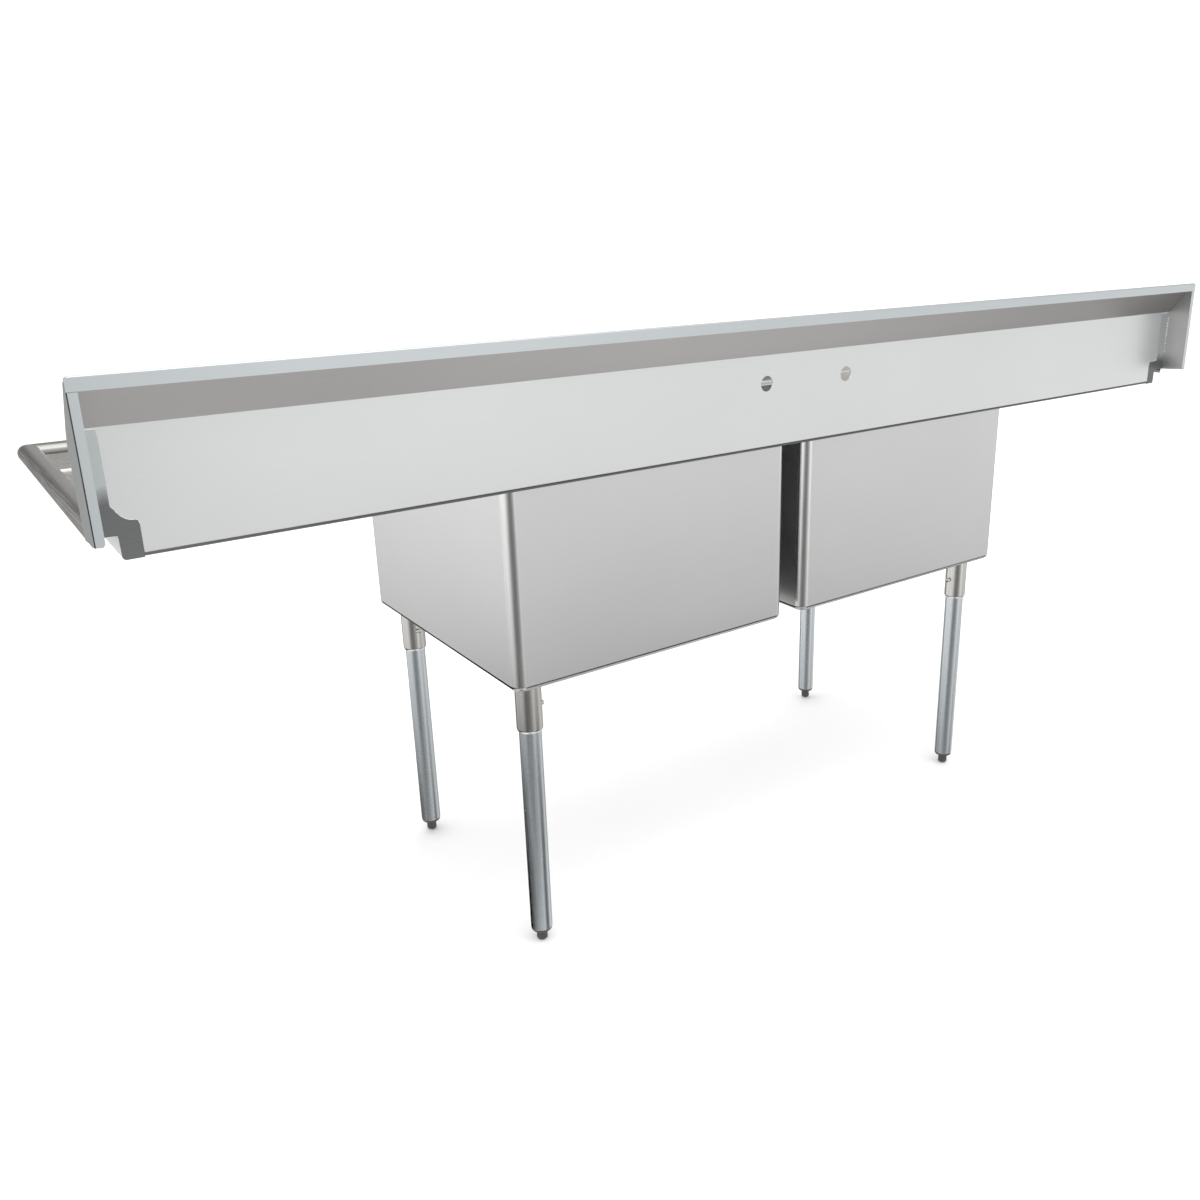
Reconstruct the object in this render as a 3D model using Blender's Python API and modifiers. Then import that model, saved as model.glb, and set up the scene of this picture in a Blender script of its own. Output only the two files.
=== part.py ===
"""Two compartment commercial sink with a drainboard at each end, on four tube legs.

Sizes are in inches, the unit this kind of sink is sold in, and place() turns them
into metres. x runs along the sink, +x to the right of a person standing at its
front; w is the distance from the wall plane, 0 at the wall and negative towards
the person; z is the height above the floor.
"""
import math

import bmesh
import bpy
from mathutils import Matrix

IN = 0.0254
GAP = 0.012                # between neighbouring pieces, 0.3 mm
T = 0.059                  # 16 gauge sheet, 1.5 mm
DEPTH = 30.2               # wall plane to the front of the rolled rim
HALF_L = 49.0              # half of the overall length
SIDES = (("left", -1), ("right", 1))

# backsplash
Z_TOP = 45.4
Z_LIP = 44.67              # lower edge of the wall lip
Z_BEND = 42.63             # where the sloping return meets the upright panel
W_PANEL = -2.36            # front face of the panel
X_PANEL = 47.7             # end of the panel above the drainboard's corner
X_STEP = 46.47             # end of the panel beside the drainboard's corner
X_SPLASH = 48.925          # end of the return and of the wall lip
Z_CAP = 37.08              # lower edge of the corner plates at the end caps
RIDGE_R = 0.11
SPLASH_COVE = 0.24
FAUCET_X, FAUCET_Z, FAUCET_R = 4.0, 40.55, 0.5625

# deck and rolled rim
Z_DECK = 35.79
W_DECK = -3.003            # rear edge of the deck pieces
COVE = 0.15
PAN_CORNER = 0.3
ROLL_R = 0.72
ROLL_Z = 37.05
ROLL_X = 48.205            # centre of the side rolls
ROLL_W = ROLL_R - DEPTH    # centre of the front roll
ROLL_END = -38             # the roll stops this many degrees past its outer side

# bowls
BOWL_X0 = 0.95             # half of the gap between the bowls
BOWL_W0 = -3.33            # rear face
BOWL = 24.2                # outside size
BOWL_Z = 21.5              # underside at the walls
BOWL_R = 0.85              # vertical corners, outside
BOWL_COVE = 0.45           # bottom edge, outside
BOWL_LIP = 0.13            # bend from wall to flange
FLANGE = 0.315
PITCH = 0.15               # fall of the floor to the drain
DRAIN_R = 1.78
BOWL_CX = BOWL_X0 + BOWL / 2
BOWL_CW = BOWL_W0 - BOWL / 2

# legs
LEG_X = 23.1
LEG_W = {"rear": -5.58, "front": -25.4}
LEG_R, LEG_WALL = 0.8125, 0.065
LEG_Z0, LEG_Z1 = 1.16, 21.2
SOCKET_R, SOCKET_BORE, SOCKET_Z0 = 0.95, 0.83, 17.58
SCREW_Z = 19.35
PLATE_T = 0.1


def place(x, w, z):
    """A point in inches as metres, with the origin under the middle of the sink."""
    return (x * IN, (w + DEPTH / 2) * IN, z * IN)


# ------------------------------------------------------------ scene and materials
for old in list(bpy.data.objects):
    bpy.data.objects.remove(old)
model = bpy.data.collections.new("two_compartment_sink")
cutters = bpy.data.collections.new("cutters")
bpy.context.scene.collection.children.link(model)
bpy.context.scene.collection.children.link(cutters)
frame = bpy.data.objects.new("sink_frame", None)
model.objects.link(frame)


def finish(name, colour, roughness, metallic=1.0):
    mat = bpy.data.materials.new(name)
    mat.use_nodes = True
    bsdf = mat.node_tree.nodes["Principled BSDF"]
    bsdf.inputs["Base Color"].default_value = (*colour, 1.0)
    bsdf.inputs["Roughness"].default_value = roughness
    bsdf.inputs["Metallic"].default_value = metallic
    return mat


SPLASH_STEEL = finish("splash_steel", (0.80, 0.81, 0.82), 0.35)
TRIM_STEEL = finish("trim_steel", (0.66, 0.69, 0.71), 0.40)
CORNER_STEEL = finish("corner_steel", (0.42, 0.43, 0.43), 0.40)
DECK_STEEL = finish("deck_steel", (0.66, 0.65, 0.63), 0.30)
RIM_STEEL = finish("rim_steel", (0.55, 0.54, 0.52), 0.25)
BOWL_STEEL = finish("bowl_steel", (0.75, 0.75, 0.76), 0.35)
SOCKET_STEEL = finish("socket_steel", (0.62, 0.61, 0.59), 0.25)
GALVANISED = finish("galvanised_steel", (0.62, 0.66, 0.69), 0.45)
SCREW_STEEL = finish("screw_steel", (0.70, 0.70, 0.70), 0.25)
FOOT_PLASTIC = finish("foot_plastic", (0.13, 0.13, 0.14), 0.60, 0.0)
DRAIN_STEEL = finish("drain_steel", (0.72, 0.72, 0.71), 0.20)
DRAIN_BRASS = finish("drain_brass", (0.78, 0.77, 0.75), 0.15)
RUBBER = finish("gasket_rubber", (0.05, 0.05, 0.05), 0.80, 0.0)


# ------------------------------------------------------------------- modelling tools
def add(name, data, material, location=(0, 0, 0)):
    obj = bpy.data.objects.new(name, data)
    obj.location = location
    if material:
        data.materials.append(material)
        obj.parent = frame
        model.objects.link(obj)
    else:
        obj.hide_render = True
        obj.display_type = "WIRE"
        cutters.objects.link(obj)
    return obj


def mesh_from(name, bm):
    mesh = bpy.data.meshes.new(name)
    bm.to_mesh(mesh)
    bm.free()
    mesh.shade_smooth()
    mesh.set_sharp_from_angle(angle=math.radians(35))
    return mesh


def cut(obj, cutter):
    mod = obj.modifiers.new("cut", "BOOLEAN")
    mod.operation = "DIFFERENCE"
    mod.object = cutter


def arc(cx, cy, r, a0, a1, steps):
    """Points along an arc, angles in degrees."""
    turn = [math.radians(a0 + (a1 - a0) * i / steps) for i in range(steps + 1)]
    return [(cx + r * math.cos(a), cy + r * math.sin(a)) for a in turn]


def sheet(name, bm, material):
    """Sheet metal from an open surface: Solidify grows it away from its visible side."""
    obj = add(name, mesh_from(name, bm), material)
    wall = obj.modifiers.new("sheet", "SOLIDIFY")
    wall.thickness = T * IN
    wall.offset = -1.0
    wall.use_even_offset = True
    return obj


def mirrored(obj):
    """Add the other half, across the middle of the sink, before any other modifier."""
    mod = obj.modifiers.new("mirror", "MIRROR")
    mod.merge_threshold = 0.0001
    obj.modifiers.move(len(obj.modifiers) - 1, 0)
    return obj


def bent(name, profile, start, end, material):
    """A bent sheet: a profile of points (x, w, z) at start, drawn out to end.

    Its visible side is on the left of the profile, looking back from end to start.
    """
    bm = bmesh.new()
    verts = [bm.verts.new(place(*p)) for p in profile]
    edges = [bm.edges.new(pair) for pair in zip(verts[1:], verts)]
    grown = bmesh.ops.extrude_edge_only(bm, edges=edges)["geom"]
    reach = [(b - a) * IN for a, b in zip(start, end)]
    bmesh.ops.translate(bm, verts=[g for g in grown if isinstance(g, bmesh.types.BMVert)], vec=reach)
    return sheet(name, bm, material)


def loft(name, rows, material, ring=False, floor=()):
    """A sheet through rows of points (x, w, z), or rings of them; floor closes the last row."""
    bm = bmesh.new()
    verts = [[bm.verts.new(place(*p)) for p in row] for row in rows]
    for a, b in zip(verts, verts[1:]):
        for i in range(len(a) if ring else len(a) - 1):
            j = (i + 1) % len(a)
            bm.faces.new((a[i], a[j], b[j], b[i]))
    if floor:
        bm.faces.new(verts[-1] + [bm.verts.new(place(*p)) for p in floor])
    return sheet(name, bm, material)


def plate(name, outlines, thickness, material, location, upright=False):
    """Flat plate from 2-D outlines in inches; a second outline is a hole."""
    curve = bpy.data.curves.new(name, "CURVE")
    curve.dimensions = "2D"
    curve.fill_mode = "BOTH"
    curve.extrude = thickness * IN / 2
    for outline in outlines:
        spline = curve.splines.new("POLY")
        spline.points.add(len(outline) - 1)
        for point, (a, b) in zip(spline.points, outline):
            point.co = (a * IN, b * IN, 0.0, 1.0)
        spline.use_cyclic_u = True
    obj = add(name, curve, material, location)
    if upright:
        obj.rotation_euler = (math.radians(90), 0.0, 0.0)
    return obj


def turned(name, profile, x, w, material, steps, z=0.0, tilt=(0.0, 0.0, 0.0)):
    """Turned piece: a closed profile of (radius, height) spun round its own axis."""
    area = sum(a[0] * b[1] - b[0] * a[1] for a, b in zip(profile, profile[1:] + profile[:1]))
    points = profile if area < 0 else profile[::-1]
    on_axis = [i for i, p in enumerate(points) if p[0] == 0]
    if on_axis:
        # start at the upper point on the axis, so that the open line ends at the lower one
        top = max(on_axis, key=lambda i: points[i][1])
        points = points[top:] + points[:top]
    bm = bmesh.new()
    verts = [bm.verts.new((r * IN, 0.0, h * IN)) for r, h in points]
    for a, b in zip(verts, verts[1:]):
        bm.edges.new((a, b))
    if not on_axis:
        bm.edges.new((verts[-1], verts[0]))
    obj = add(name, mesh_from(name, bm), material, place(x, w, z))
    obj.rotation_euler = tilt
    spin = obj.modifiers.new("turn", "SCREW")
    spin.axis = "Z"
    spin.angle = math.radians(360)
    spin.steps = spin.render_steps = steps
    spin.use_merge_vertices = True
    spin.merge_threshold = 0.0001
    spin.use_smooth_shade = True
    return obj


def drill(name, holes, radius, length, sides, tilt=None):
    """Cutter of one or more round bars, centred at the given points."""
    bm = bmesh.new()
    turn = Matrix.Rotation(math.radians(90), 4, tilt) if tilt else Matrix.Identity(4)
    for hole in holes:
        spot = Matrix.Translation(place(*hole)) @ turn
        bmesh.ops.create_cone(bm, cap_ends=True, segments=sides, radius1=radius * IN, radius2=radius * IN,
                              depth=length * IN, matrix=spot)
    return add(name, mesh_from(name, bm), None)


# ------------------------------------------------------------------------ backsplash
def corner_edge(grow):
    """Edge of the panel's lower corner: up beside the drainboard, then an S to the end."""
    x = X_STEP + grow
    return [(x, 37.55 - grow), (x + 0.03, 37.68), (x + 0.14, 37.77 - grow / 2), (x + 0.45, 37.82 - grow),
            (x + 0.72, 37.97 - grow), (x + 0.95, 38.22 - grow), (x + 1.10, 38.46 - grow),
            (X_PANEL + grow, 38.6)]


def backsplash():
    slope = math.degrees(math.atan2(Z_TOP - Z_BEND, RIDGE_R - W_PANEL))
    profile = [(0.0, Z_LIP)] + arc(-RIDGE_R, Z_TOP - RIDGE_R, RIDGE_R, 0, 90 + slope, 6)
    profile += [(W_PANEL + 0.03, Z_BEND + 0.03), (W_PANEL, Z_BEND - 0.02)]
    profile += arc(W_PANEL - SPLASH_COVE, Z_DECK + SPLASH_COVE, SPLASH_COVE, 0, -90, 5)
    profile += [(W_DECK + GAP, Z_DECK)]
    splash = bent("backsplash", [(0, w, z) for w, z in profile], (0, 0, 0), (X_SPLASH, 0, 0), SPLASH_STEEL)
    mirrored(splash)
    cut(splash, mirrored(drill("faucet_drill", [(FAUCET_X, W_PANEL, FAUCET_Z)], FAUCET_R, 2.0, 32, "X")))
    outline = [(X_STEP, 34.0)] + corner_edge(0.0) + [(X_PANEL, 42.52), (51.0, 42.52), (51.0, 34.0)]
    bm = bmesh.new()
    face = bm.faces.new([bm.verts.new(place(x, -5.0, z)) for x, z in outline])
    grown = bmesh.ops.extrude_face_region(bm, geom=[face])["geom"]
    bmesh.ops.translate(bm, verts=[g for g in grown if isinstance(g, bmesh.types.BMVert)], vec=(0, 4 * IN, 0))
    bmesh.ops.recalc_face_normals(bm, faces=bm.faces)
    cut(splash, mirrored(add("corner_cutter", mesh_from("corner_cutter", bm), None)))


def end_caps():
    """End plate of the backsplash, bent into a lip along the wall."""
    outline = [(0.0, 37.18), (-2.84, 36.96), (-2.9, 37.02), (-2.9, 41.3), (-2.83, 41.75), (-2.62, 42.25),
               (-2.4, 42.62), (-0.2, 45.33), (-0.13, 45.37), (-0.04, 45.35), (0.0, 45.28)]
    lip = [(48.5, 45.28), (48.5, 37.3), (48.62, 37.14)]
    for side, s in SIDES:
        bm = bmesh.new()
        wall = [bm.verts.new(place(s * HALF_L, w, z)) for w, z in outline]
        back = [bm.verts.new(place(s * x, 0.0, z)) for x, z in lip]
        for loop in (wall, [wall[0], wall[-1]] + back):
            bm.faces.new(loop[::-s])
        cap = sheet("end_cap_" + side, bm, TRIM_STEEL)
        # the lip stops under the backsplash's own lip
        size = (0.54, 0.2, 1.2)
        middle = (s * (X_SPLASH + 0.01 - size[0] / 2), 0.0, Z_LIP - GAP + size[2] / 2)
        bm = bmesh.new()
        spot = Matrix.Translation(place(*middle)) @ Matrix.Diagonal([v * IN for v in size] + [1.0])
        bmesh.ops.create_cube(bm, size=1.0, matrix=spot)
        cut(cap, add("lip_cutter_" + side, mesh_from("lip_cutter", bm), None))


def corner_plates():
    """Plates that close the backsplash down to the drainboard's corner and out to the end cap."""
    outer = HALF_L - T - GAP
    low_x, low_z = ROLL_X - ROLL_R + T, Z_DECK - T
    for side, s in SIDES:
        outline = [(X_STEP + GAP, low_z)] + corner_edge(GAP) + [(X_PANEL + GAP, 42.5), (outer, 42.5)]
        outline += [(outer, Z_CAP), (low_x + 0.1, Z_CAP - 0.02), (low_x + 0.02, Z_CAP - 0.06)]
        outline += arc(low_x - 0.2, low_z + 0.2, 0.2, 0, -90, 5)
        plate("corner_plate_" + side, [[(s * x, z) for x, z in outline]], T, CORNER_STEEL,
              place(0.0, W_PANEL + T / 2, 0.0), upright=True)


# ------------------------------------------------------------- deck and rolled rims
def drainboards():
    """Pans with an upstand at the front and at the end, open to the bowl and the backsplash."""
    x_in = BOWL_X0 + BOWL + FLANGE + GAP
    x_wall, w_wall, w_end = ROLL_X - ROLL_R, ROLL_W + ROLL_R, W_PANEL - GAP
    section = [(0.0, ROLL_Z - GAP)] + arc(COVE, Z_DECK + COVE, COVE, 180, 270, 5)
    notch = [(x_in, W_DECK), (X_STEP + GAP, W_DECK), (X_STEP + GAP, w_end)]
    for side, s in SIDES:
        rows = []
        for inset, z in section:
            line = [(x_wall - inset, w_end)]
            line += arc(x_wall - PAN_CORNER, w_wall + PAN_CORNER, PAN_CORNER - inset, 0, -90, 6)
            line += [(x_in, w_wall + inset)]
            rows.append([(s * x, w, z) for x, w in line[::-s]])
        floor = [(s * x, w, Z_DECK) for x, w in notch[::-s]]
        loft("drainboard_" + side, rows, DECK_STEEL, floor=floor)


def front_apron():
    """Deck strip in front of the bowls and its upstand."""
    w_wall = ROLL_W + ROLL_R
    profile = [(BOWL_W0 - BOWL - FLANGE - GAP, Z_DECK)]
    profile += arc(w_wall + COVE, Z_DECK + COVE, COVE, 270, 180, 5) + [(w_wall, ROLL_Z - GAP)]
    half = BOWL_X0 + BOWL + FLANGE
    mirrored(bent("front_apron", [(0, w, z) for w, z in profile], (0, 0, 0), (half, 0, 0), DECK_STEEL))


def centre_bridge():
    """Deck strip between the two bowls."""
    half = BOWL_X0 - FLANGE - GAP
    w_front = BOWL_W0 - BOWL - FLANGE + GAP
    outline = [(-half, 0.0), (half, 0.0), (half, W_DECK - w_front), (-half, W_DECK - w_front)]
    plate("centre_bridge", [outline], T, DECK_STEEL, place(0.0, w_front, Z_DECK - T / 2))


def rims():
    """Rolled rims, cut at 45 degrees where they meet at the front corners."""
    roll = arc(0.0, ROLL_Z, ROLL_R, 180, ROLL_END, 18)
    reach = ROLL_X + ROLL_R
    front = bent("rim_front", [(0, ROLL_W - o, z) for o, z in roll], (0, 0, 0), (reach, 0, 0), RIM_STEEL)
    mirrored(front)
    size = 3.0
    for side, s in SIDES:
        ends = (W_PANEL - GAP, -DEPTH)[::-s]
        profile = [(s * (ROLL_X + o), ends[0], z) for o, z in roll]
        rim = bent("rim_" + side, profile, (0, ends[0], 0), (0, ends[1], 0), RIM_STEEL)
        for obj, out in ((front, 1), (rim, -1)):
            shift = out * (size - GAP) / 2 / math.sqrt(2)
            bm = bmesh.new()
            turn = Matrix.Rotation(math.radians(45), 4, "Z")
            spot = Matrix.Translation(place(s * (ROLL_X + shift), ROLL_W + shift, ROLL_Z))
            bmesh.ops.create_cube(bm, size=size * IN, matrix=spot @ turn)
            name = "mitre_" + side + ("_a" if out > 0 else "_b")
            cut(obj, add(name, mesh_from(name, bm), None))


# ----------------------------------------------------------------------------- bowls
def square_ring(half, r):
    """Rounded square of 32 points about 0, 0."""
    points = []
    q = half - r
    for k in range(4):
        a = 90 * k
        u = (round(math.cos(math.radians(a))), round(math.sin(math.radians(a))))
        v = (-u[1], u[0])
        points += [(half * u[0] + q * t * v[0], half * u[1] + q * t * v[1]) for t in (-0.5, 0.0, 0.5)]
        points += arc(q * (u[0] + v[0]), q * (u[1] + v[1]), r, a, a + 90, 4)
    return points


def round_ring(r):
    """Circle whose 32 points face those of square_ring."""
    angles = (-12.5, 0.0, 12.5, 25.0, 35.0, 45.0, 55.0, 65.0)
    turn = [math.radians(90 * k + a) for k in range(4) for a in angles]
    return [(r * math.cos(a), r * math.sin(a)) for a in turn]


def bowls():
    """Bowl pressed from one sheet: flange, walls, coved floor falling to the drain."""
    half, corner, cove = BOWL / 2 - T, BOWL_R - T, BOWL_COVE - T
    floor = BOWL_Z + T
    rings = [(square_ring(BOWL / 2 + FLANGE, 0.04), Z_DECK)]
    for out, z in arc(BOWL_LIP, Z_DECK - BOWL_LIP, BOWL_LIP, 90, 180, 2):
        rings.append((square_ring(half + out, corner + out), z))
    for inset, z in arc(cove, floor + cove, cove, 180, 270, 4):
        rings.append((square_ring(half - inset, corner - inset), z))
    rings += [(round_ring(8.0), floor), (round_ring(2.55), floor - PITCH * 0.93),
              (round_ring(2.35), floor - PITCH), (round_ring(DRAIN_R), floor - PITCH)]
    for side, s in SIDES:
        rows = [[(s * BOWL_CX + x, BOWL_CW + w, z) for x, w in ring] for ring, z in rings]
        loft("bowl_" + side, rows, BOWL_STEEL, ring=True)


# ---------------------------------------------------------------------------- drains
def drains():
    under = BOWL_Z - PITCH
    seat = under + T
    body = [(2.2, seat + GAP), (2.2, seat + 0.03), (2.12, seat + 0.075), (1.72, seat + 0.075),
            (1.63, seat + 0.02), (1.63, 20.14), (1.58, 20.1), (1.06, 20.1), (1.03, 20.05), (1.03, 19.62),
            (0.95, 19.54), (0.62, 19.5), (0.62, 18.6), (0.75, 18.6), (0.75, 19.36), (1.1, 19.42),
            (1.16, 19.5), (1.16, 19.95), (1.66, 20.0), (1.72, 20.06), (1.72, seat + GAP)]
    gasket = [(1.745, under - GAP), (2.14, under - GAP), (2.17, under - 0.04), (2.14, under - 0.11),
              (1.745, under - 0.11)]
    tail = [(0.69, 16.6), (0.75, 16.6), (0.75, 18.588), (0.69, 18.588)]
    basket = [(0, 20.15), (1.13, 20.15), (1.18, 20.2), (1.5, 21.16), (1.57, 21.2), (1.57, 21.25),
              (1.48, 21.25), (1.44, 21.2), (1.12, 20.26), (1.06, 20.2), (0.12, 20.2), (0.12, 20.82),
              (0.24, 20.9), (0.27, 21.0), (0.24, 21.1), (0.12, 21.16), (0, 21.17)]
    locknut_h, slip_h, slip_z = 0.36, 0.65, 18.25
    lugs = [(2.3 if i % 6 < 2 else 2.06, 2 * math.pi * i / 48) for i in range(48)]
    locknut = [[(r * math.cos(a), r * math.sin(a)) for r, a in lugs], arc(0, 0, 1.745, 0, 348.75, 31)]
    slip_nut = [arc(0, 0, 1.1, 0, 300, 5), arc(0, 0, 0.775, 0, 345, 23)]
    for side, s in SIDES:
        x = s * BOWL_CX
        turned("strainer_body_" + side, body, x, BOWL_CW, DRAIN_STEEL, 24)
        turned("drain_gasket_" + side, gasket, x, BOWL_CW, RUBBER, 24)
        turned("tailpiece_" + side, tail, x, BOWL_CW, DRAIN_BRASS, 24)
        plate("locknut_" + side, locknut, locknut_h, DRAIN_BRASS,
              place(x, BOWL_CW, under - 0.11 - GAP - locknut_h / 2))
        plate("slip_nut_" + side, slip_nut, slip_h, DRAIN_BRASS, place(x, BOWL_CW, slip_z + slip_h / 2))
        lifted = turned("basket_" + side, basket, x, BOWL_CW, DRAIN_STEEL, 24)
        holes = [(x + r * math.cos(a), BOWL_CW + r * math.sin(a), 20.2)
                 for r, n in ((0.42, 5), (0.80, 10)) for a in (2 * math.pi * (i + 0.5) / n for i in range(n))]
        cut(lifted, drill("basket_drill_" + side, holes, 0.085, 0.4, 8))


# ------------------------------------------------------------------------------ legs
def legs():
    plate_z = BOWL_Z - GAP - PLATE_T / 2
    socket = [(SOCKET_BORE, SOCKET_Z0), (SOCKET_BORE + 0.04, SOCKET_Z0), (SOCKET_R - 0.02, SOCKET_Z0 + 0.12),
              (SOCKET_R, SOCKET_Z0 + 0.2), (SOCKET_R, plate_z - PLATE_T / 2 - GAP),
              (SOCKET_BORE, plate_z - PLATE_T / 2 - GAP)]
    screw = [(0, 0.826), (0.1, 0.826), (0.12, 0.85), (0.12, 0.962), (0.2, 0.962), (0.2, 1.12), (0.15, 1.2),
             (0.07, 1.2), (0.06, 1.12), (0, 1.12)]
    tube = [(LEG_R - LEG_WALL, LEG_Z0), (LEG_R - 0.02, LEG_Z0), (LEG_R, LEG_Z0 + 0.02), (LEG_R, LEG_Z1),
            (LEG_R - LEG_WALL, LEG_Z1)]
    collar = [(0.265, 0.9), (0.52, 0.88), (0.7, 0.95), (0.79, 1.06), (0.79, LEG_Z0 - GAP),
              (0.72, LEG_Z0 - GAP), (0.72, 2.3), (0.265, 2.3)]
    foot = [(0, 0.0), (0.3, 0.0), (0.41, 0.12), (0.41, 0.84), (0.38, 0.865), (0.25, 0.865), (0.25, 2.55),
            (0.2, 2.6), (0, 2.6)]
    half_w, corner = 1.72, 0.3
    for depth, w in LEG_W.items():
        shift = -0.05 if depth == "rear" else 0.12      # keeps the gusset on the flat of the bowl's bottom
        for side, s in SIDES:
            tag = depth + "_" + side
            x = s * LEG_X
            near, far = sorted((-s * 2.72, s * 1.5))
            outline = []
            for cx, cw, a in ((far - corner, half_w - corner, 0), (near + corner, half_w - corner, 90),
                              (near + corner, corner - half_w, 180), (far - corner, corner - half_w, 270)):
                outline += arc(cx, cw, corner, a, a + 90, 4)
            plate("gusset_" + tag, [outline], PLATE_T, SOCKET_STEEL, place(x, w + shift, plate_z))
            sleeve = turned("socket_" + tag, socket, x, w, SOCKET_STEEL, 32)
            # the set screw points to the middle of the sink on the rear legs, to the wall on the front ones
            tilt = (0.0, -s * math.radians(90), 0.0) if depth == "rear" else (math.radians(-90), 0.0, 0.0)
            hole = (x - s * 0.9, w, SCREW_Z) if depth == "rear" else (x, w + 0.9, SCREW_Z)
            cut(sleeve, drill("socket_drill_" + tag, [hole], 0.135, 0.4, 16, "Y" if depth == "rear" else "X"))
            turned("set_screw_" + tag, screw, x, w, SCREW_STEEL, 16, z=SCREW_Z, tilt=tilt)
            turned("leg_" + tag, tube, x, w, GALVANISED, 32)
            turned("foot_collar_" + tag, collar, x, w, FOOT_PLASTIC, 24)
            turned("foot_" + tag, foot, x, w, FOOT_PLASTIC, 20)


backsplash()
end_caps()
corner_plates()
drainboards()
front_apron()
centre_bridge()
rims()
bowls()
drains()
legs()
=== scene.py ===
"""Looks, light and camera for a two compartment sink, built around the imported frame.

Sizes are in inches, and at() turns them into the frame's metres. x and z are the
frame's own directions, and w is the distance from the wall plane, negative towards
the person at the sink. "Right" is that person's right, +x.
"""
import math

import bmesh
import bpy
from mathutils import Matrix, Vector, noise


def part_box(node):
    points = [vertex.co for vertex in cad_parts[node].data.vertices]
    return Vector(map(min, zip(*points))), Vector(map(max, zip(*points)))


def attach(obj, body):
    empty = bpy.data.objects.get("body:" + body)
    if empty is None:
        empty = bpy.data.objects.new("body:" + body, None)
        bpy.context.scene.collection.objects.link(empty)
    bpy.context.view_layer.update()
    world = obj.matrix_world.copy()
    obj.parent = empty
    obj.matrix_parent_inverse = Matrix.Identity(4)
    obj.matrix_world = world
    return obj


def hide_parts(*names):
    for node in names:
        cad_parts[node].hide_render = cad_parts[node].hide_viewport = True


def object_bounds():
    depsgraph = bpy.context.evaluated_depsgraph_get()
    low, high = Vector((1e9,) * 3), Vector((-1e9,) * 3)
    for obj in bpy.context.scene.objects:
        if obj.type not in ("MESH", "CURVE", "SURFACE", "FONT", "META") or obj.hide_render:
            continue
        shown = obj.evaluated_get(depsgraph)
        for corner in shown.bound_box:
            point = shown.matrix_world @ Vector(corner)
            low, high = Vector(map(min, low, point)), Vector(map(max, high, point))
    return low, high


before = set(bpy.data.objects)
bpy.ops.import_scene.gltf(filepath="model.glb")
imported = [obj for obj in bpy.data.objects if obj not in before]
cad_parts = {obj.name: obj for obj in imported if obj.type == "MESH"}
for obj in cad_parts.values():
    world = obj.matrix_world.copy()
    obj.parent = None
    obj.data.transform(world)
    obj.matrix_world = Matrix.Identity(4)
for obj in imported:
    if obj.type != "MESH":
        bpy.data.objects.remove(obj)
cad_box = [list(corner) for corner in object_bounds()]

IN = 0.0254
DEPTH = (cad_box[1][1] - cad_box[0][1]) / IN
GAP = 0.012                # the CAD's gap between neighbours
T = 0.059                  # sheet thickness
EDGE = 0.012               # rounding of a cut edge
SIDES = (("left", -1), ("right", 1))


def at(x, w, z):
    return Vector((x * IN, (w + DEPTH / 2) * IN, z * IN))


def span(node):
    """A CAD node's box in inches: (x, w, z) of its low and high corners."""
    return [(c.x / IN, c.y / IN - DEPTH / 2, c.z / IN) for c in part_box(node)]


def middle(node):
    low, high = span(node)
    return (low[0] + high[0]) / 2, (low[1] + high[1]) / 2


# ------------------------------------------------------- sizes read from the frame
splash_low, splash_high = span("backsplash")
cap_low, cap_high = span("end_cap_right")
corner_low, corner_high = span("corner_plate_right")
board_low, board_high = span("drainboard_right")
roll_low, roll_high = span("rim_front")
bowl_low, bowl_high = span("bowl_right")

X_SPLASH, Z_TOP = splash_high[0], splash_high[2]
Z_DECK = splash_low[2] + T
HALF_L, X_LIP = cap_high[0], cap_low[0]
W_PANEL = corner_low[1]
X_STEP = corner_low[0] - GAP
X_BOARD, X_WALL, W_WALL = board_low[0], board_high[0] - T, board_low[1] + T
ROLL_R = (roll_high[1] - roll_low[1]) / 2
ROLL_W, ROLL_Z = roll_low[1] + ROLL_R, board_high[2] + GAP
ROLL_X = roll_high[0] - ROLL_R
FLANGE, BOWL_R, BOWL_COVE, BOWL_LIP = 0.315, 0.85, 0.45, 0.13
BOWL = bowl_high[0] - bowl_low[0] - 2 * FLANGE
BOWL_CX, BOWL_CW = middle("bowl_right")
BOWL_Z = 21.5              # underside at the walls; the floor falls PITCH to the drain
PITCH = BOWL_Z - bowl_low[2]
RIDGE_R, BEND_R, SPLASH_COVE, COVE, PAN_CORNER = 0.11, 0.10, 0.24, 0.15, 0.3
END, LIP_R = HALF_L - 0.002, 0.24      # the lip covers the end caps' edges, with a rounded corner
Z_LIP, Z_BEND, X_PANEL, Z_PLATE = 44.67, 42.62, X_STEP + 1.23, corner_high[2]
FAUCET_X, FAUCET_Z, FAUCET_R = 4.0, 40.55, 0.5625
Z_STEP_LOW, Z_STEP_TOP = 37.55, 38.62  # where the corner plate's free edge starts and ends
Z_TACK_LOW, Z_TACK_TOP = 38.75, 42.3   # row of tack welds above it
Z_SCREW = 19.35                        # set screws in the leg sockets


# ------------------------------------------------------------------------- materials
def tree(name):
    mat = bpy.data.materials.new(name)
    mat.use_nodes = True
    nodes, links = mat.node_tree.nodes, mat.node_tree.links
    return mat, nodes, links, nodes["Principled BSDF"]


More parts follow.
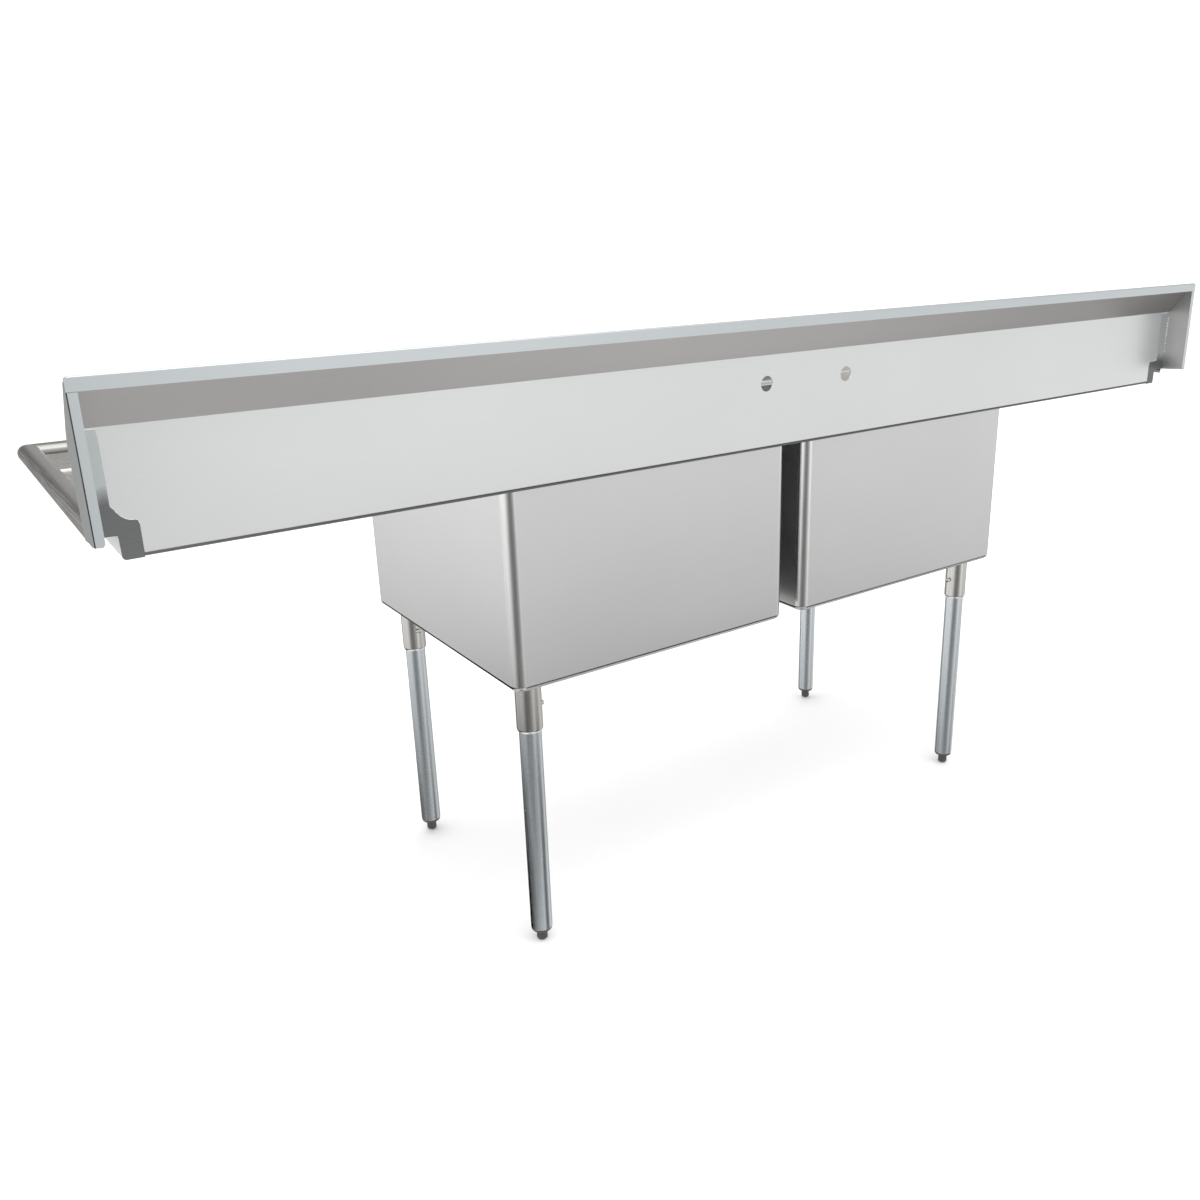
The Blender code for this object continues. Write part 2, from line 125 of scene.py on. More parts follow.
def noise_node(nodes, links, scale, size, detail=3.0):
    """Noise in object space, stretched by a scale for each axis."""
    coord = nodes.new("ShaderNodeTexCoord")
    mapping = nodes.new("ShaderNodeMapping")
    mapping.inputs["Scale"].default_value = scale
    tex = nodes.new("ShaderNodeTexNoise")
    tex.inputs["Scale"].default_value = size
    tex.inputs["Detail"].default_value = detail
    links.new(coord.outputs["Object"], mapping.inputs["Vector"])
    links.new(mapping.outputs["Vector"], tex.inputs["Vector"])
    return tex.outputs["Fac"]


def ranged(nodes, links, value, low, high, start=0.3, end=0.7):
    node = nodes.new("ShaderNodeMapRange")
    for key, number in (("From Min", start), ("From Max", end), ("To Min", low), ("To Max", high)):
        node.inputs[key].default_value = number
    links.new(value, node.inputs["Value"])
    return node.outputs["Result"]


def shaded(nodes, links, value, dark, light, start=0.3, end=0.7):
    ramp = nodes.new("ShaderNodeValToRGB")
    ramp.color_ramp.elements[0].position, ramp.color_ramp.elements[0].color = start, (*dark, 1)
    ramp.color_ramp.elements[1].position, ramp.color_ramp.elements[1].color = end, (*light, 1)
    links.new(value, ramp.inputs["Fac"])
    return ramp.outputs["Color"]


def weighted(nodes, links, first, share, second, rest):
    """first * share + second * rest"""
    both, part = nodes.new("ShaderNodeMath"), nodes.new("ShaderNodeMath")
    both.operation, part.operation = "MULTIPLY_ADD", "MULTIPLY"
    both.inputs[1].default_value, part.inputs[1].default_value = share, rest
    links.new(first, both.inputs[0])
    links.new(second, part.inputs[0])
    links.new(part.outputs[0], both.inputs[2])
    return both.outputs[0]


def relief(nodes, links, bsdf, value, strength, distance):
    bump = nodes.new("ShaderNodeBump")
    bump.inputs["Strength"].default_value = strength
    bump.inputs["Distance"].default_value = distance
    links.new(value, bump.inputs["Height"])
    links.new(bump.outputs["Normal"], bsdf.inputs["Normal"])


def steel(name, colour, roughness, grain=(1, 1, 220), spread=0.05, depth=0.03, blotch=0.05, metallic=1.0, fade=None):
    """Brushed sheet: long fine grain in roughness, tone and relief, over broad faint blotches.
    fade = (colour, low z, high z) turns the sheet from its own colour into another with height; it paints shade, darker
    low down."""
    mat, nodes, links, bsdf = tree(name)
    bsdf.inputs["Metallic"].default_value = metallic
    fine = noise_node(nodes, links, grain, 4.0, 4.0)
    broad = noise_node(nodes, links, (1, 1, 1.6), 3.2, 4.0)
    mixed = weighted(nodes, links, fine, 0.55, broad, 0.45)
    dark = [c * (1 - blotch) for c in colour]
    light = [min(1, c * (1 + blotch)) for c in colour]
    tone = shaded(nodes, links, mixed, dark, light, 0.36, 0.64)
    if fade:
        other, low, high = fade
        wave, middle_wave = 0.8, 0.4      # the edge of the fade wanders by this much, in inches
        place = nodes.new("ShaderNodeSeparateXYZ")
        coord = nodes.new("ShaderNodeTexCoord")
        links.new(coord.outputs["Object"], place.inputs["Vector"])
        wavy = nodes.new("ShaderNodeMath")
        wavy.operation = "MULTIPLY_ADD"
        wavy.inputs[1].default_value = wave * IN
        links.new(noise_node(nodes, links, (1, 1, 1), 40.0), wavy.inputs[0])
        links.new(place.outputs["Z"], wavy.inputs[2])
        mix = nodes.new("ShaderNodeMix")
        mix.data_type = "RGBA"
        factor, colour_a, colour_b, result = mix.inputs[0], mix.inputs[6], mix.inputs[7], mix.outputs[2]
        colour_b.default_value = (*other, 1)
        links.new(ranged(nodes, links, wavy.outputs[0], 0.0, 1.0,
                         (low + middle_wave) * IN, (high + middle_wave) * IN), factor)
        links.new(tone, colour_a)
        tone = result
    links.new(tone, bsdf.inputs["Base Color"])
    links.new(ranged(nodes, links, fine, roughness - spread, roughness + spread), bsdf.inputs["Roughness"])
    relief(nodes, links, bsdf, fine, depth, 0.001)
    return mat


def zinc(name):
    """Galvanised tube: bluish, with a faint crystal pattern and streaks down the length."""
    mat, nodes, links, bsdf = tree(name)
    bsdf.inputs["Metallic"].default_value = 1.0
    coord = nodes.new("ShaderNodeTexCoord")
    cells = nodes.new("ShaderNodeTexVoronoi")
    cells.inputs["Scale"].default_value = 170.0
    links.new(coord.outputs["Object"], cells.inputs["Vector"])
    grey = nodes.new("ShaderNodeRGBToBW")
    links.new(cells.outputs["Color"], grey.inputs["Color"])
    streak = noise_node(nodes, links, (90, 90, 2), 2.0)
    both = weighted(nodes, links, grey.outputs[0], 0.10, streak, 0.90)
    links.new(shaded(nodes, links, both, (0.64, 0.69, 0.72), (0.71, 0.76, 0.785)), bsdf.inputs["Base Color"])
    links.new(ranged(nodes, links, both, 0.22, 0.28), bsdf.inputs["Roughness"])
    relief(nodes, links, bsdf, both, 0.004, 0.0006)
    return mat


def grained(name, dark, light, roughness, size, depth, metallic=0.0):
    """Moulded plastic, rubber or rough weld metal: a fine even grain."""
    mat, nodes, links, bsdf = tree(name)
    bsdf.inputs["Metallic"].default_value = metallic
    tex = noise_node(nodes, links, (1, 1, 1), size, 5.0)
    links.new(shaded(nodes, links, tex, dark, light), bsdf.inputs["Base Color"])
    links.new(ranged(nodes, links, tex, roughness - 0.06, roughness + 0.06), bsdf.inputs["Roughness"])
    relief(nodes, links, bsdf, tex, depth, 0.0005)
    return mat


FLAT = (1, 220, 220)       # grain along x
PANEL = steel("panel_steel", (0.715, 0.73, 0.738), 0.38, FLAT, spread=0.03, depth=0.015, blotch=0.02, metallic=0.94)
# painted shade: the return and the lip are the panel's own sheet in darker, shaded tones
RETURN_SHADE = steel("return_steel", (0.365, 0.36, 0.354), 0.34, FLAT, spread=0.03, depth=0.015, blotch=0.03, metallic=0.94)
LIP_SHADE = steel("lip_steel", (0.575, 0.615, 0.63), 0.34, FLAT, spread=0.03, depth=0.015, blotch=0.03)
# painted shade: the end cap's outside is a far darker copy of the steel its inside has
CAP_OUTSIDE_SHADE = steel("cap_steel", (0.25, 0.263, 0.263), 0.38, (220, 220, 1), spread=0.03, depth=0.015, blotch=0.04, metallic=0.7)
# painted shade: the cove at the panel's foot is the same sheet, near black as a shade line
FOOT_SHADE = steel("underside_steel", (0.13, 0.128, 0.125), 0.30, FLAT, spread=0.03, depth=0.015, blotch=0.04)
# painted shade: the corner plates are dark low in the recess and turn lighter above z 38.7 (37.8 on the left), with
# strong blotches
CORNER_SHADE = steel("corner_steel", (0.17, 0.175, 0.178), 0.34, FLAT, blotch=0.12, metallic=0.9,
               fade=((0.50, 0.535, 0.545), 38.7, 39.7))
CORNER_LEFT_SHADE = steel("corner_left_steel", (0.15, 0.155, 0.155), 0.34, FLAT, blotch=0.16, metallic=0.9,
                    fade=((0.56, 0.585, 0.60), 37.8, 38.6))
# painted light: the end cap's inside is a light copy of the same sheet, so that the return mirrors it brighter
CAP_INSIDE_LIGHT = steel("cap_inner_steel", (0.60, 0.60, 0.59), 0.36, (220, 220, 1), spread=0.03, depth=0.015, blotch=0.05)
# painted shade: a near-black line along the end cap's rounded bend
FOLD_SHADE = steel("fold_steel", (0.07, 0.075, 0.08), 0.34, (220, 220, 1), blotch=0.04)
BEND = steel("bend_steel", (0.66, 0.66, 0.66), 0.15, (60, 60, 4), spread=0.03, depth=0.02, blotch=0.05)
# painted shade: the coves under the bowls are a much darker copy of the bowl steel
COVE_SHADE = steel("cove_steel", (0.35, 0.35, 0.35), 0.15, (60, 60, 4), spread=0.03, depth=0.02, blotch=0.05)
# painted shade: the bowl walls facing each other across the gap are dark at the bottom and turn lighter than the bowl
# steel above z 24 to 30
GAP_WALL_SHADE = steel("gap_side_steel", (0.45, 0.45, 0.45), 0.34, spread=0.03, depth=0.015, blotch=0.03,
                 fade=((0.76, 0.76, 0.77), 24.0, 30.0))
# painted light: the drainboard's outward side wall is a brighter, less metallic copy of the deck steel
DECK_SIDE_LIGHT = steel("deck_side_steel", (0.80, 0.80, 0.79), 0.34, FLAT, blotch=0.06, metallic=0.45)
DECK = steel("deck_steel", (0.70, 0.69, 0.67), 0.28, FLAT, blotch=0.06)
RIM = steel("rim_steel", (0.54, 0.53, 0.51), 0.20, (2, 2, 120), blotch=0.05)
# painted shade: the front roll is a darker copy of the side rolls' steel
RIM_FRONT_SHADE = steel("rim_front_steel", (0.34, 0.335, 0.32), 0.20, (1, 160, 160), blotch=0.05)
BOWL_STEEL = steel("bowl_steel", (0.66, 0.66, 0.67), 0.34, spread=0.03, depth=0.015, blotch=0.02)
TURNED = steel("turned_steel", (0.64, 0.63, 0.61), 0.14, (2, 2, 420), blotch=0.06, depth=0.05)
PLATE = steel("gusset_steel", (0.60, 0.60, 0.59), 0.28, FLAT, blotch=0.06)
DRAIN = steel("drain_steel", (0.72, 0.72, 0.71), 0.16, (3, 3, 300), blotch=0.04)
BRASS = steel("plated_brass", (0.74, 0.73, 0.70), 0.10, (3, 3, 160), blotch=0.05)
SCREW = steel("screw_steel", (0.66, 0.66, 0.65), 0.18, (60, 60, 60), blotch=0.06)
ZINC = zinc("galvanised_steel")
WELD = grained("weld_metal", (0.60, 0.60, 0.59), (0.95, 0.95, 0.94), 0.30, 320.0, 0.5, 0.5)
# painted highlight: near-white, mostly diffuse metal that stands in for the glints on the tack welds
TACK_GLINT = grained("tack_weld_metal", (0.85, 0.85, 0.84), (1.0, 1.0, 1.0), 0.25, 320.0, 0.3, 0.1)
PLASTIC = grained("foot_plastic", (0.030, 0.031, 0.034), (0.070, 0.072, 0.076), 0.50, 900.0, 0.35)
RUBBER = grained("gasket_rubber", (0.016, 0.016, 0.016), (0.035, 0.035, 0.035), 0.75, 700.0, 0.3)


# ---------------------------------------------------------------------- mesh helpers
def made_object(name, bm, mats=()):
    mesh = bpy.data.meshes.new(name)
    bm.to_mesh(mesh)
    bm.free()
    for mat in mats:
        mesh.materials.append(mat)
    obj = bpy.data.objects.new(name, mesh)
    bpy.context.scene.collection.objects.link(obj)
    return obj


def add(name, bm, mats, body="sink", stands_for=(), flip=True):
    """A new piece of the object from a bmesh, riding on a CAD body."""
    if flip:
        bmesh.ops.recalc_face_normals(bm, faces=bm.faces)
    obj = made_object(name, bm, mats)
    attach(obj, body)
    if stands_for:
        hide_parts(*stands_for)
    return obj


def settle(obj, edge=EDGE, angle=38, thickness=None, cutter=None):
    """Give a sheet its thickness, cut it, round its edges, and keep the result as its mesh."""
    if thickness:
        mod = obj.modifiers.new("sheet", "SOLIDIFY")
        mod.thickness, mod.offset, mod.use_even_offset = thickness * IN, -1.0, True
    if cutter:
        mod = obj.modifiers.new("cut", "BOOLEAN")
        mod.operation, mod.object = "DIFFERENCE", cutter
    if edge:
        mod = obj.modifiers.new("edge", "BEVEL")
        mod.width, mod.segments = edge * IN, 2
        mod.limit_method, mod.angle_limit = "ANGLE", math.radians(angle)
        mod.use_clamp_overlap = True
    bpy.context.view_layer.update()
    made = bpy.data.meshes.new_from_object(obj.evaluated_get(bpy.context.evaluated_depsgraph_get()))
    obj.modifiers.clear()
    old, made.name = obj.data, obj.name + "_mesh"
    obj.data = made
    bpy.data.meshes.remove(old)
    made.shade_smooth()
    made.set_sharp_from_angle(angle=math.radians(angle))
    even = obj.modifiers.new("normals", "WEIGHTED_NORMAL")
    even.keep_sharp = True
    if cutter:
        bpy.data.objects.remove(cutter)


def tool(bm):
    """A cutter from a bmesh: it is used once, and settle() removes it."""
    bmesh.ops.recalc_face_normals(bm, faces=bm.faces)
    obj = made_object("cutter", bm)
    obj.hide_render = True
    return obj


def drill(bm, radius, depth, segments, matrix):
    """A round or hexagonal bit for a cutter, sizes in inches."""
    bmesh.ops.create_cone(bm, cap_ends=True, segments=segments, radius1=radius * IN, radius2=radius * IN,
                          depth=depth * IN, matrix=matrix)


def arc(cx, cy, r, a0, a1, steps):
    """Points along an arc, angles in degrees."""
    turn = [math.radians(a0 + (a1 - a0) * i / steps) for i in range(steps + 1)]
    return [(cx + r * math.cos(a), cy + r * math.sin(a)) for a in turn]


def smooth_line(points, steps=6):
    """A curve through 2-D points (Catmull-Rom)."""
    ends = [points[0]] + list(points) + [points[-1]]
    out = []
    for p0, p1, p2, p3 in zip(ends, ends[1:], ends[2:], ends[3:]):
        for i in range(steps):
            t = i / steps
            out.append(tuple(0.5 * (2 * b + (c - a) * t + (2 * a - 5 * b + 4 * c - d) * t * t
                                    + (3 * b - a - 3 * c + d) * t ** 3)
                             for a, b, c, d in zip(p0, p1, p2, p3)))
    return out + [points[-1]]


def loft(bm, rows, ring=False, mats=None):
    """Faces through rows of points; mats gives a material number for each place along a row."""
    verts = [[bm.verts.new(p) for p in row] for row in rows]
    for a, b in zip(verts, verts[1:]):
        for i in range(len(a) if ring else len(a) - 1):
            j = (i + 1) % len(a)
            face = bm.faces.new((a[i], a[j], b[j], b[i]))
            if mats:
                face.material_index = mats[i]
    return verts


def revolve(bm, profile, steps, matrix, closed=True):
    """Solid of revolution about the matrix's z axis, from (radius, height) points in inches."""
    rings = []
    for r, h in profile:
        count = 1 if r < 1e-6 else steps
        rings.append([bm.verts.new(matrix @ Vector((r * IN * math.cos(2 * math.pi * i / steps),
                                                    r * IN * math.sin(2 * math.pi * i / steps), h * IN)))
                      for i in range(count)])
    pairs = list(zip(rings, rings[1:])) + ([(rings[-1], rings[0])] if closed else [])
    for a, b in pairs:
        if len(a) == 1 and len(b) == 1:
            continue
        for i in range(steps):
            j = (i + 1) % steps
            loop = [a[i % len(a)], a[j % len(a)], b[j % len(b)], b[i % len(b)]]
            bm.faces.new(list(dict.fromkeys(loop)))


def slab(bm, outline, shift):
    """Solid from a flat outline of points, moved along shift."""
    near = [bm.verts.new(p) for p in outline]
    far = [bm.verts.new(Vector(p) + shift) for p in outline]
    bm.faces.new(near)
    bm.faces.new(far[::-1])
    for i in range(len(near)):
        j = (i + 1) % len(near)
        bm.faces.new((near[i], far[i], far[j], near[j]))


def bead(bm, path, radius, ripple=0.12, pitch=0.07, sides=8, closed=False):
    """Weld bead: a rippled tube along points in metres; radius and pitch in inches."""
    line, run = [Vector(p) for p in path], 0.0
    if closed:
        line.append(line[0])
    steps = []
    for a, b in zip(line, line[1:]):
        count = max(1, round((b - a).length / (pitch * IN / 4)))
        steps += [(a.lerp(b, i / count), (b - a).normalized()) for i in range(count)]
    if not closed:
        steps.append((line[-1], (line[-1] - line[-2]).normalized()))
    rings = []
    last = None
    for point, along in steps:
        run += (point - last).length if last is not None else 0.0
        last = point
        swell = 1 + ripple * math.sin(2 * math.pi * run / (pitch * IN)) + 0.12 * noise.noise(point * 90)
        side = along.orthogonal().normalized() if not rings else (side - side.dot(along) * along).normalized()
        up = along.cross(side)
        rings.append([point + (side * math.cos(t) + up * math.sin(t)) * radius * IN * swell
                      for t in (2 * math.pi * k / sides for k in range(sides))])
    verts = loft(bm, rings + ([rings[0]] if closed else []), ring=True)
    if closed:
        bmesh.ops.remove_doubles(bm, verts=bm.verts, dist=1e-7)
    else:
        bm.faces.new(verts[0])
        bm.faces.new(verts[-1][::-1])


# ------------------------------------------------------------------------ backsplash
def corner_edge(s, grow=0.0):
    """Edge of the panel's lower corner: up beside the drainboard, then out to the end by an S on the right and
    by a plain step on the left."""
    x = X_STEP + grow
    if s < 0:
        step = arc(x + 0.10, 37.80 - grow, 0.10, 180, 90, 5)
        step += arc(X_PANEL + grow - 0.08, 38.00 - grow, 0.08, 270, 360, 5)
        return [(x, Z_STEP_LOW - grow)] + step + [(X_PANEL + grow, Z_STEP_TOP)]
    curve = [(x + 0.03, 37.68), (x + 0.14, 37.77 - grow / 2), (x + 0.45, 37.82 - grow), (x + 0.72, 37.97 - grow),
             (x + 0.95, 38.22 - grow), (x + 1.10, 38.46 - grow), (X_PANEL + grow, Z_STEP_TOP)]
    return [(x, Z_STEP_LOW - grow)] + smooth_line(curve)


def rounded(profile, x):
    """The profile with its top brought down where the lip's corner is rounded."""
    over = max(0.0, abs(x) - (END - LIP_R))
    top = Z_TOP - LIP_R + math.sqrt(max(0.0, LIP_R ** 2 - over ** 2))
    return [(w, min(z, top)) for w, z in profile]


def splash():
    """Wall lip, ridge, sloping return, panel and cove in one sheet, with two faucet holes."""
    top = arc(-RIDGE_R, Z_TOP - RIDGE_R, RIDGE_R, 0, 138.3, 12)
    slope = math.atan2(top[-1][1] - Z_BEND, top[-1][0] - W_PANEL)
    tangent = BEND_R * math.tan((math.pi / 2 - slope) / 2)
    bend = arc(W_PANEL + BEND_R, Z_BEND - tangent, BEND_R, 90 + math.degrees(slope), 180, 8)
    foot = arc(W_PANEL - SPLASH_COVE, Z_DECK + SPLASH_COVE, SPLASH_COVE, 0, -90, 10)
    heights = [Z_DECK + SPLASH_COVE + (Z_BEND - 0.2 - Z_DECK - SPLASH_COVE) * i / 8 for i in range(8, 0, -1)]
    profile = [(0.0, Z_LIP)] + top + bend + [(W_PANEL, z) for z in heights] + foot + [(splash_low[1], Z_DECK)]
    # the return, lip and foot cove take darker copies of the panel's steel: painted shade on one sheet
    on_panel, on_return, on_lip, on_foot = range(4)
    mats = [on_lip] * 7 + [on_return] * (len(top) - 6 + len(bend) // 2)
    mats += [on_panel] * (len(profile) - len(mats) - len(foot)) + [on_foot] * len(foot)
    half = [X_SPLASH * i / 20 for i in range(1, 20)] + [END - LIP_R, END - 0.75 * LIP_R, END - 0.5 * LIP_R, X_SPLASH]
    columns = [-x for x in reversed(half)] + [0.0] + half
    rows = []
    for x in columns:
        row = []
        for w, z in rounded(profile, x):
            # hand-formed sheet is never quite flat: a wave of a quarter of a millimetre, none near the edges
            calm = max(0.0, min(1.0, (44 - abs(x)) / 6, (z - 36.5) / 2, (45.0 - z) / 1.5))
            dent = 0.010 * calm * noise.noise(Vector((x / 9, 0.0, z / 7)))
            row.append(at(x, w + dent, z))
        rows.append(row)
    bm = bmesh.new()
    verts = loft(bm, rows, mats=mats)
    # the lip alone goes on past the panel, over the end caps' edges
    for s, edge in ((-1, verts[0]), (1, verts[-1])):
        edge = edge[:len(top) + 1]
        for turn in (30, 52, 70, 84):
            x = END - LIP_R + LIP_R * math.sin(math.radians(turn))
            if x <= X_SPLASH + 0.004:
                continue
            new = [bm.verts.new(at(s * x, w, z)) for w, z in rounded(profile[:len(top) + 1], x)]
            a, b = (edge, new) if s > 0 else (new, edge)
            for i in range(len(top)):
                bm.faces.new((a[i], a[i + 1], b[i + 1], b[i])).material_index = mats[i]
            edge = new
    obj = add("splash_sheet", bm, [PANEL, RETURN_SHADE, LIP_SHADE, FOOT_SHADE],
              stands_for=["backsplash"], flip=False)

    bm = bmesh.new()
    for s in (-1, 1):
        spot = Matrix.Translation(at(s * FAUCET_X, W_PANEL, FAUCET_Z)) @ Matrix.Rotation(math.radians(90), 4, "X")
        drill(bm, FAUCET_R, 2.0, 56, spot)
        outline = [(X_STEP, 34.0)] + corner_edge(s) + [(X_PANEL, 42.52), (51.0, 42.52), (51.0, 34.0)]
        slab(bm, [at(s * x, -5.0, z) for x, z in outline], Vector((0, 3.8 * IN, 0)))
    settle(obj, thickness=T, cutter=tool(bm))


def end_caps():
    """End plates of the backsplash, bent round into a lip along the wall."""
    outline = [(0.0, 37.18), (-2.84, 36.96), (-2.88, 36.98), (-2.9, 37.02), (-2.9, 41.3)]
    outline += smooth_line([(-2.9, 41.3), (-2.83, 41.75), (-2.62, 42.25), (-2.4, 42.62)], 5)[1:]
    # the top stops under the lip's rounded corner, then runs down beside the lip
    top, tuck, lip_foot = Z_TOP - LIP_R - 0.03, -T - 0.016, Z_LIP - 0.03
    outline += [(-0.265 - (45.26 - top) * 0.809, top), (tuck, top), (tuck, lip_foot), (0.0, lip_foot)]
    lip = [(X_LIP, lip_foot), (X_LIP, 37.3), (X_LIP + 0.12, 37.14)]
    on_plate, on_lip, on_fold, on_inside = range(4)
    for side, s in SIDES:
        bm = bmesh.new()
        wall = [bm.verts.new(at(s * HALF_L, w, z)) for w, z in outline]
        back = [bm.verts.new(at(s * x, 0.0, z)) for x, z in lip]
        for loop, mat in ((wall, on_plate), ([wall[0], wall[-1]] + back, on_lip)):
            bm.faces.new(loop[::-s]).material_index = mat
        fold = [e for e in bm.edges if e.is_manifold]
        # the rounded fold gets the near-black material, a painted shade line along the bend
        bmesh.ops.bevel(bm, geom=fold, offset=0.06 * IN, segments=5, profile=0.5, affect="EDGES", material=on_fold)
        obj = add("cap_sheet_" + side, bm, [CAP_OUTSIDE_SHADE, LIP_SHADE, FOLD_SHADE, CAP_INSIDE_LIGHT],
                  stands_for=["end_cap_" + side], flip=False)
        settle(obj, thickness=T)
        # inward faces take the light copy and the rest the dark one: painted light and shade on one sheet
        for face in obj.data.polygons:
            if face.normal.x * s < -0.5:
                face.material_index = on_inside


def corner_plates():
    """Plates at the backsplash's lower corners, with their welds to the panel and the end cap."""
    outer, low_z = HALF_L - T - GAP, Z_DECK - T
    low_x = corner_x = X_WALL + T
    for side, s in SIDES:
        outline = [(X_STEP + GAP, low_z)] + corner_edge(s, GAP) + [(X_PANEL + GAP, Z_PLATE), (outer, Z_PLATE)]
        outline += [(outer, 37.08), (corner_x + 0.1, 37.06), (corner_x + 0.02, 37.02)]
        outline += arc(low_x - 0.2, low_z + 0.2, 0.2, 0, -90, 8)
        bm = bmesh.new()
        slab(bm, [at(s * x, W_PANEL, z) for x, z in outline], Vector((0, T * IN, 0)))
        # the plate's colour carries painted shade, darkest low in the corner
        obj = add("corner_sheet_" + side, bm, [CORNER_SHADE if s > 0 else CORNER_LEFT_SHADE],
                  stands_for=["corner_plate_" + side])
        settle(obj, edge=0.008)

        bm = bmesh.new()
        seam = [at(s * x, W_PANEL + T - 0.004, z) for x, z in corner_edge(s, GAP / 2)]
        bead(bm, seam, 0.020, 0.06)
        # tack welds, larger towards the top and unevenly spaced, coloured near white as painted glints
        z = Z_TACK_LOW
        while z < Z_TACK_TOP:
            size = 0.050 + 0.010 * (z - Z_TACK_LOW) + 0.020 * noise.noise(Vector((z * 3, s, 0)))
            spot = Matrix.Translation(at(s * (outer - 0.03), W_PANEL + T + 0.025, z))
            spot = spot @ Matrix.Scale(1.15, 4, (0, 0, 1))
            first = len(bm.faces)
            bmesh.ops.create_icosphere(bm, subdivisions=2, radius=size * IN, matrix=spot)
            for face in list(bm.faces)[first:]:
                face.material_index = 1
            z += 0.27 + 0.06 * noise.noise(Vector((z * 5, s, 4)))
        settle(add("corner_weld_" + side, bm, [WELD, TACK_GLINT]), edge=0, angle=60)


# ------------------------------------------------------------- deck and rolled rims
def drainboards():
    section = [(0.0, ROLL_Z - 0.004)] + arc(COVE, Z_DECK + COVE, COVE, 180, 270, 8)
    w_end = board_high[1]
    notch = [(X_BOARD, splash_low[1] - GAP), (X_STEP + GAP, splash_low[1] - GAP), (X_STEP + GAP, w_end)]
    for side, s in SIDES:
        rows = []
        for inset, z in section:
            line = [(X_WALL - inset, w_end)]
            line += arc(X_WALL - PAN_CORNER, W_WALL + PAN_CORNER, PAN_CORNER - inset, 0, -90, 12)
            line += [(X_BOARD, W_WALL + inset)]
            rows.append([at(s * x, w, z) for x, w in line[::-s]])
        bm = bmesh.new()
        verts = loft(bm, rows)
        bm.faces.new(verts[-1] + [bm.verts.new(at(s * x, w, Z_DECK)) for x, w in notch[::-s]])
        obj = add("drainboard_sheet_" + side, bm, [DECK, DECK_SIDE_LIGHT],
                  stands_for=["drainboard_" + side], flip=False)
        settle(obj, thickness=T, edge=0.004)
        # outward faces take the brighter copy: painted light on one sheet
        for face in obj.data.polygons:
            if face.normal.x * s > 0.25:
                face.material_index = 1


def apron():
    """Deck strip in front of the bowls, with its upstand under the roll."""
    profile = [(bowl_low[1] - GAP, Z_DECK)] + arc(W_WALL + COVE, Z_DECK + COVE, COVE, 270, 180, 8)
    profile += [(W_WALL, ROLL_Z - 0.004)]
    bm = bmesh.new()
    loft(bm, [[at(x, w, z) for w, z in profile] for x in (-bowl_high[0], bowl_high[0])])
    obj = add("apron_sheet", bm, [DECK], stands_for=["front_apron"], flip=False)
    settle(obj, thickness=T, edge=0.004)


def rims():
    """Rolled rims with mitred corners and a ground weld in each mitre."""
    roll = arc(0.0, ROLL_Z, ROLL_R, 180, -38, 40)
    # the front roll takes the darker copy, painted shade
    for name, mat, s in (("rim_front", RIM_FRONT_SHADE, 0), ("rim_left", RIM, -1), ("rim_right", RIM, 1)):
        rows = []
        for end in (0, 1):
            row = []
            for o, z in roll:
                if s == 0:
                    row.append(at((ROLL_X + o) * (-1, 1)[end], ROLL_W - o, z))
                else:
                    w = (ROLL_W - o, board_high[1])[end if s > 0 else 1 - end]
                    row.append(at(s * (ROLL_X + o), w, z))
            rows.append(row)
        bm = bmesh.new()
        loft(bm, rows)
        obj = add(name + "_roll", bm, [mat], stands_for=[name], flip=False)
        settle(obj, thickness=T, edge=0.006)
    bm = bmesh.new()
    for s in (-1, 1):
        line = [at(s * (ROLL_X + o), ROLL_W - o, z) for o, z in arc(0.0, ROLL_Z, ROLL_R - 0.012, 178, -36, 40)]
        bead(bm, line, 0.020, 0.02, 0.2)
    settle(add("rim_mitre_welds", bm, [RIM]), edge=0, angle=60)


# ----------------------------------------------------------------------------- bowls
def square_ring(half, r, n=10):
    """Square with rounded corners, as points round its centre."""
    points, q = [], half - r
    for k in range(4):
        a = 90 * k
        u = (round(math.cos(math.radians(a))), round(math.sin(math.radians(a))))
        v = (-u[1], u[0])
        points += [(half * u[0] + q * t * v[0], half * u[1] + q * t * v[1]) for t in (-0.5, 0.0, 0.5)]
        points += arc(q * (u[0] + v[0]), q * (u[1] + v[1]), r, a, a + 90, n)
    return points


def round_ring(r, n=10):
    """Circle whose points face those of square_ring."""
    angles = (-12.5, 0.0, 12.5) + tuple(25 + 40 * i / n for i in range(n + 1))
    return [(r * math.cos(math.radians(90 * k + a)), r * math.sin(math.radians(90 * k + a)))
            for k in range(4) for a in angles]


